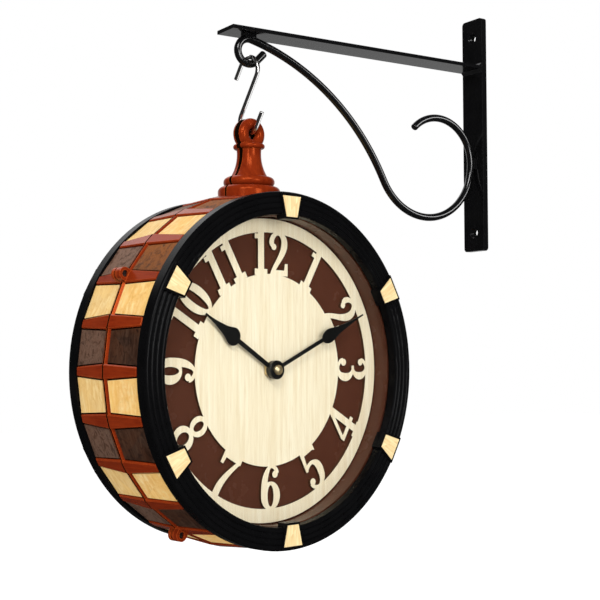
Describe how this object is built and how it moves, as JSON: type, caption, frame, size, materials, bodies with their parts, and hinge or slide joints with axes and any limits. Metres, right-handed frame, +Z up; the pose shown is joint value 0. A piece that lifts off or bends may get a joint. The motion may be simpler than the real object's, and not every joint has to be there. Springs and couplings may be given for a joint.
{
  "type": "double-sided wall clock",
  "caption": "Double-sided drum wall clock with wood panels and cut-out numerals, hanging by an S-hook from a scroll wall bracket; the hands turn and the clock swings.",
  "frame": {"origin": "midway between the two wall screws, on the face of the plate that lies on the wall", "axes": "+X into the wall along the arm, +Y from the front dial to the rear dial, +Z up"},
  "size_m": [0.3654, 0.1358, 0.4312],
  "materials": {
    "black_coat": "gloss powder coat",
    "hook_chrome": "polished chrome plate",
    "case_brown": "glossy mahogany lacquer",
    "light_wood": "satin honey wood",
    "dark_wood": "satin walnut",
    "inlay_wood": "satin pale wood",
    "bezel_black": "satin black",
    "lens_glass": "flat clear glass",
    "dial_brown": "glossy chocolate brown",
    "numeral_wood": "pale birch board",
    "hand_black": "satin black",
    "brass": "polished brass",
    "screw_steel": "zinc plate",
    "rubber": "matt rubber",
    "movement_plastic": "matt black plastic",
    "gear_plastic": "white acetal",
    "coil_copper": "enamelled copper wire",
    "stator_steel": "bare sheet steel",
    "circuit_green": "solder mask",
    "battery_sleeve": "plain printed sleeve",
    "contact_nickel": "nickel plate",
    "magnet": "bare magnet"
  },
  "bodies": {
    "bracket": {"wall_plate": "black_coat", "arm_bar": "black_coat", "scroll_rod": "black_coat", "weld_beads": "black_coat"},
    "hook": {"s_hook": "hook_chrome"},
    "clock": {"front_case": "case_brown", "rear_case": "case_brown", "light_panels": "light_wood", "dark_panels": "dark_wood", "keystone_inlays": "inlay_wood", "case_screws": "screw_steel", "bezel_screws": "screw_steel", "rubber_washers": "rubber", "mounting_nuts": "brass", "battery_contacts": "contact_nickel", "front_bezel": "bezel_black", "front_lens": "lens_glass", "front_dial_tray": "dial_brown", "front_numeral_plate": "numeral_wood", "front_movement_case": "movement_plastic", "front_movement_cover": "movement_plastic", "front_stator": "stator_steel", "front_coil": "coil_copper", "front_circuit_board": "circuit_green", "front_battery": "battery_sleeve", "rear_bezel": "bezel_black", "rear_lens": "lens_glass", "rear_dial_tray": "dial_brown", "rear_numeral_plate": "numeral_wood", "rear_movement_case": "movement_plastic", "rear_movement_cover": "movement_plastic", "rear_stator": "stator_steel", "rear_coil": "coil_copper", "rear_circuit_board": "circuit_green", "rear_battery": "battery_sleeve"},
    "front_minute": {"front_minute_hand": "hand_black", "front_hub_cap": "hand_black", "front_dome_nut": "brass", "front_minute_arbor": "brass"},
    "front_hour": {"front_hour_hand": "hand_black", "front_hour_wheel": "gear_plastic"},
    "front_motion": {"front_minute_wheel": "gear_plastic"},
    "front_setting": {"front_setting_knob": "gear_plastic"},
    "front_motor": {"front_rotor": "magnet"},
    "rear_minute": {"rear_minute_hand": "hand_black", "rear_hub_cap": "hand_black", "rear_dome_nut": "brass", "rear_minute_arbor": "brass"},
    "rear_hour": {"rear_hour_hand": "hand_black", "rear_hour_wheel": "gear_plastic"},
    "rear_motion": {"rear_minute_wheel": "gear_plastic"},
    "rear_setting": {"rear_setting_knob": "gear_plastic"},
    "rear_motor": {"rear_rotor": "magnet"}
  },
  "joints": [
    {"name": "hook_swing", "type": "hinge", "parent": "bracket", "child": "hook", "pos_m": [-0.2296, 0, 0.0333], "axis": [1, 0, 0], "range_deg": [-15, 15]},
    {"name": "clock_swing", "type": "hinge", "parent": "hook", "child": "clock", "pos_m": [-0.2296, 0, -0.02045], "axis": [-0.1736, 0.9848, 0], "range_deg": [-15, 15]},
    {"name": "front_minute_turn", "type": "hinge", "parent": "clock", "child": "front_minute", "pos_m": [-0.2296, 0, -0.19917], "axis": [-0.1736, 0.9848, 0], "continuous": true},
    {"name": "front_hour_turn", "type": "hinge", "parent": "clock", "child": "front_hour", "pos_m": [-0.2296, 0, -0.19917], "axis": [-0.1736, 0.9848, 0], "continuous": true},
    {"name": "front_motion_turn", "type": "hinge", "parent": "clock", "child": "front_motion", "pos_m": [-0.22418, 0.00096, -0.18964], "axis": [-0.1736, 0.9848, 0], "continuous": true},
    {"name": "front_knob_turn", "type": "hinge", "parent": "clock", "child": "front_setting", "pos_m": [-0.21205, 0.0031, -0.18964], "axis": [-0.1736, 0.9848, 0], "continuous": true},
    {"name": "front_rotor_turn", "type": "hinge", "parent": "clock", "child": "front_motor", "pos_m": [-0.23945, -0.00174, -0.18717], "axis": [-0.1736, 0.9848, 0], "continuous": true},
    {"name": "rear_minute_turn", "type": "hinge", "parent": "clock", "child": "rear_minute", "pos_m": [-0.2296, 0, -0.19917], "axis": [0.1736, -0.9848, 0], "continuous": true},
    {"name": "rear_hour_turn", "type": "hinge", "parent": "clock", "child": "rear_hour", "pos_m": [-0.2296, 0, -0.19917], "axis": [0.1736, -0.9848, 0], "continuous": true},
    {"name": "rear_motion_turn", "type": "hinge", "parent": "clock", "child": "rear_motion", "pos_m": [-0.23502, -0.00096, -0.18964], "axis": [0.1736, -0.9848, 0], "continuous": true},
    {"name": "rear_knob_turn", "type": "hinge", "parent": "clock", "child": "rear_setting", "pos_m": [-0.24715, -0.0031, -0.18964], "axis": [0.1736, -0.9848, 0], "continuous": true},
    {"name": "rear_rotor_turn", "type": "hinge", "parent": "clock", "child": "rear_motor", "pos_m": [-0.21975, 0.00174, -0.18717], "axis": [0.1736, -0.9848, 0], "continuous": true}
  ],
  "couplings": [
    {"joint": "front_hour_turn", "follows": "front_minute_turn", "ratio": 0.083333},
    {"joint": "front_motion_turn", "follows": "front_minute_turn", "ratio": -0.33333},
    {"joint": "front_knob_turn", "follows": "front_minute_turn", "ratio": 0.66667},
    {"joint": "rear_hour_turn", "follows": "rear_minute_turn", "ratio": 0.083333},
    {"joint": "rear_motion_turn", "follows": "rear_minute_turn", "ratio": -0.33333},
    {"joint": "rear_knob_turn", "follows": "rear_minute_turn", "ratio": 0.66667}
  ]
}
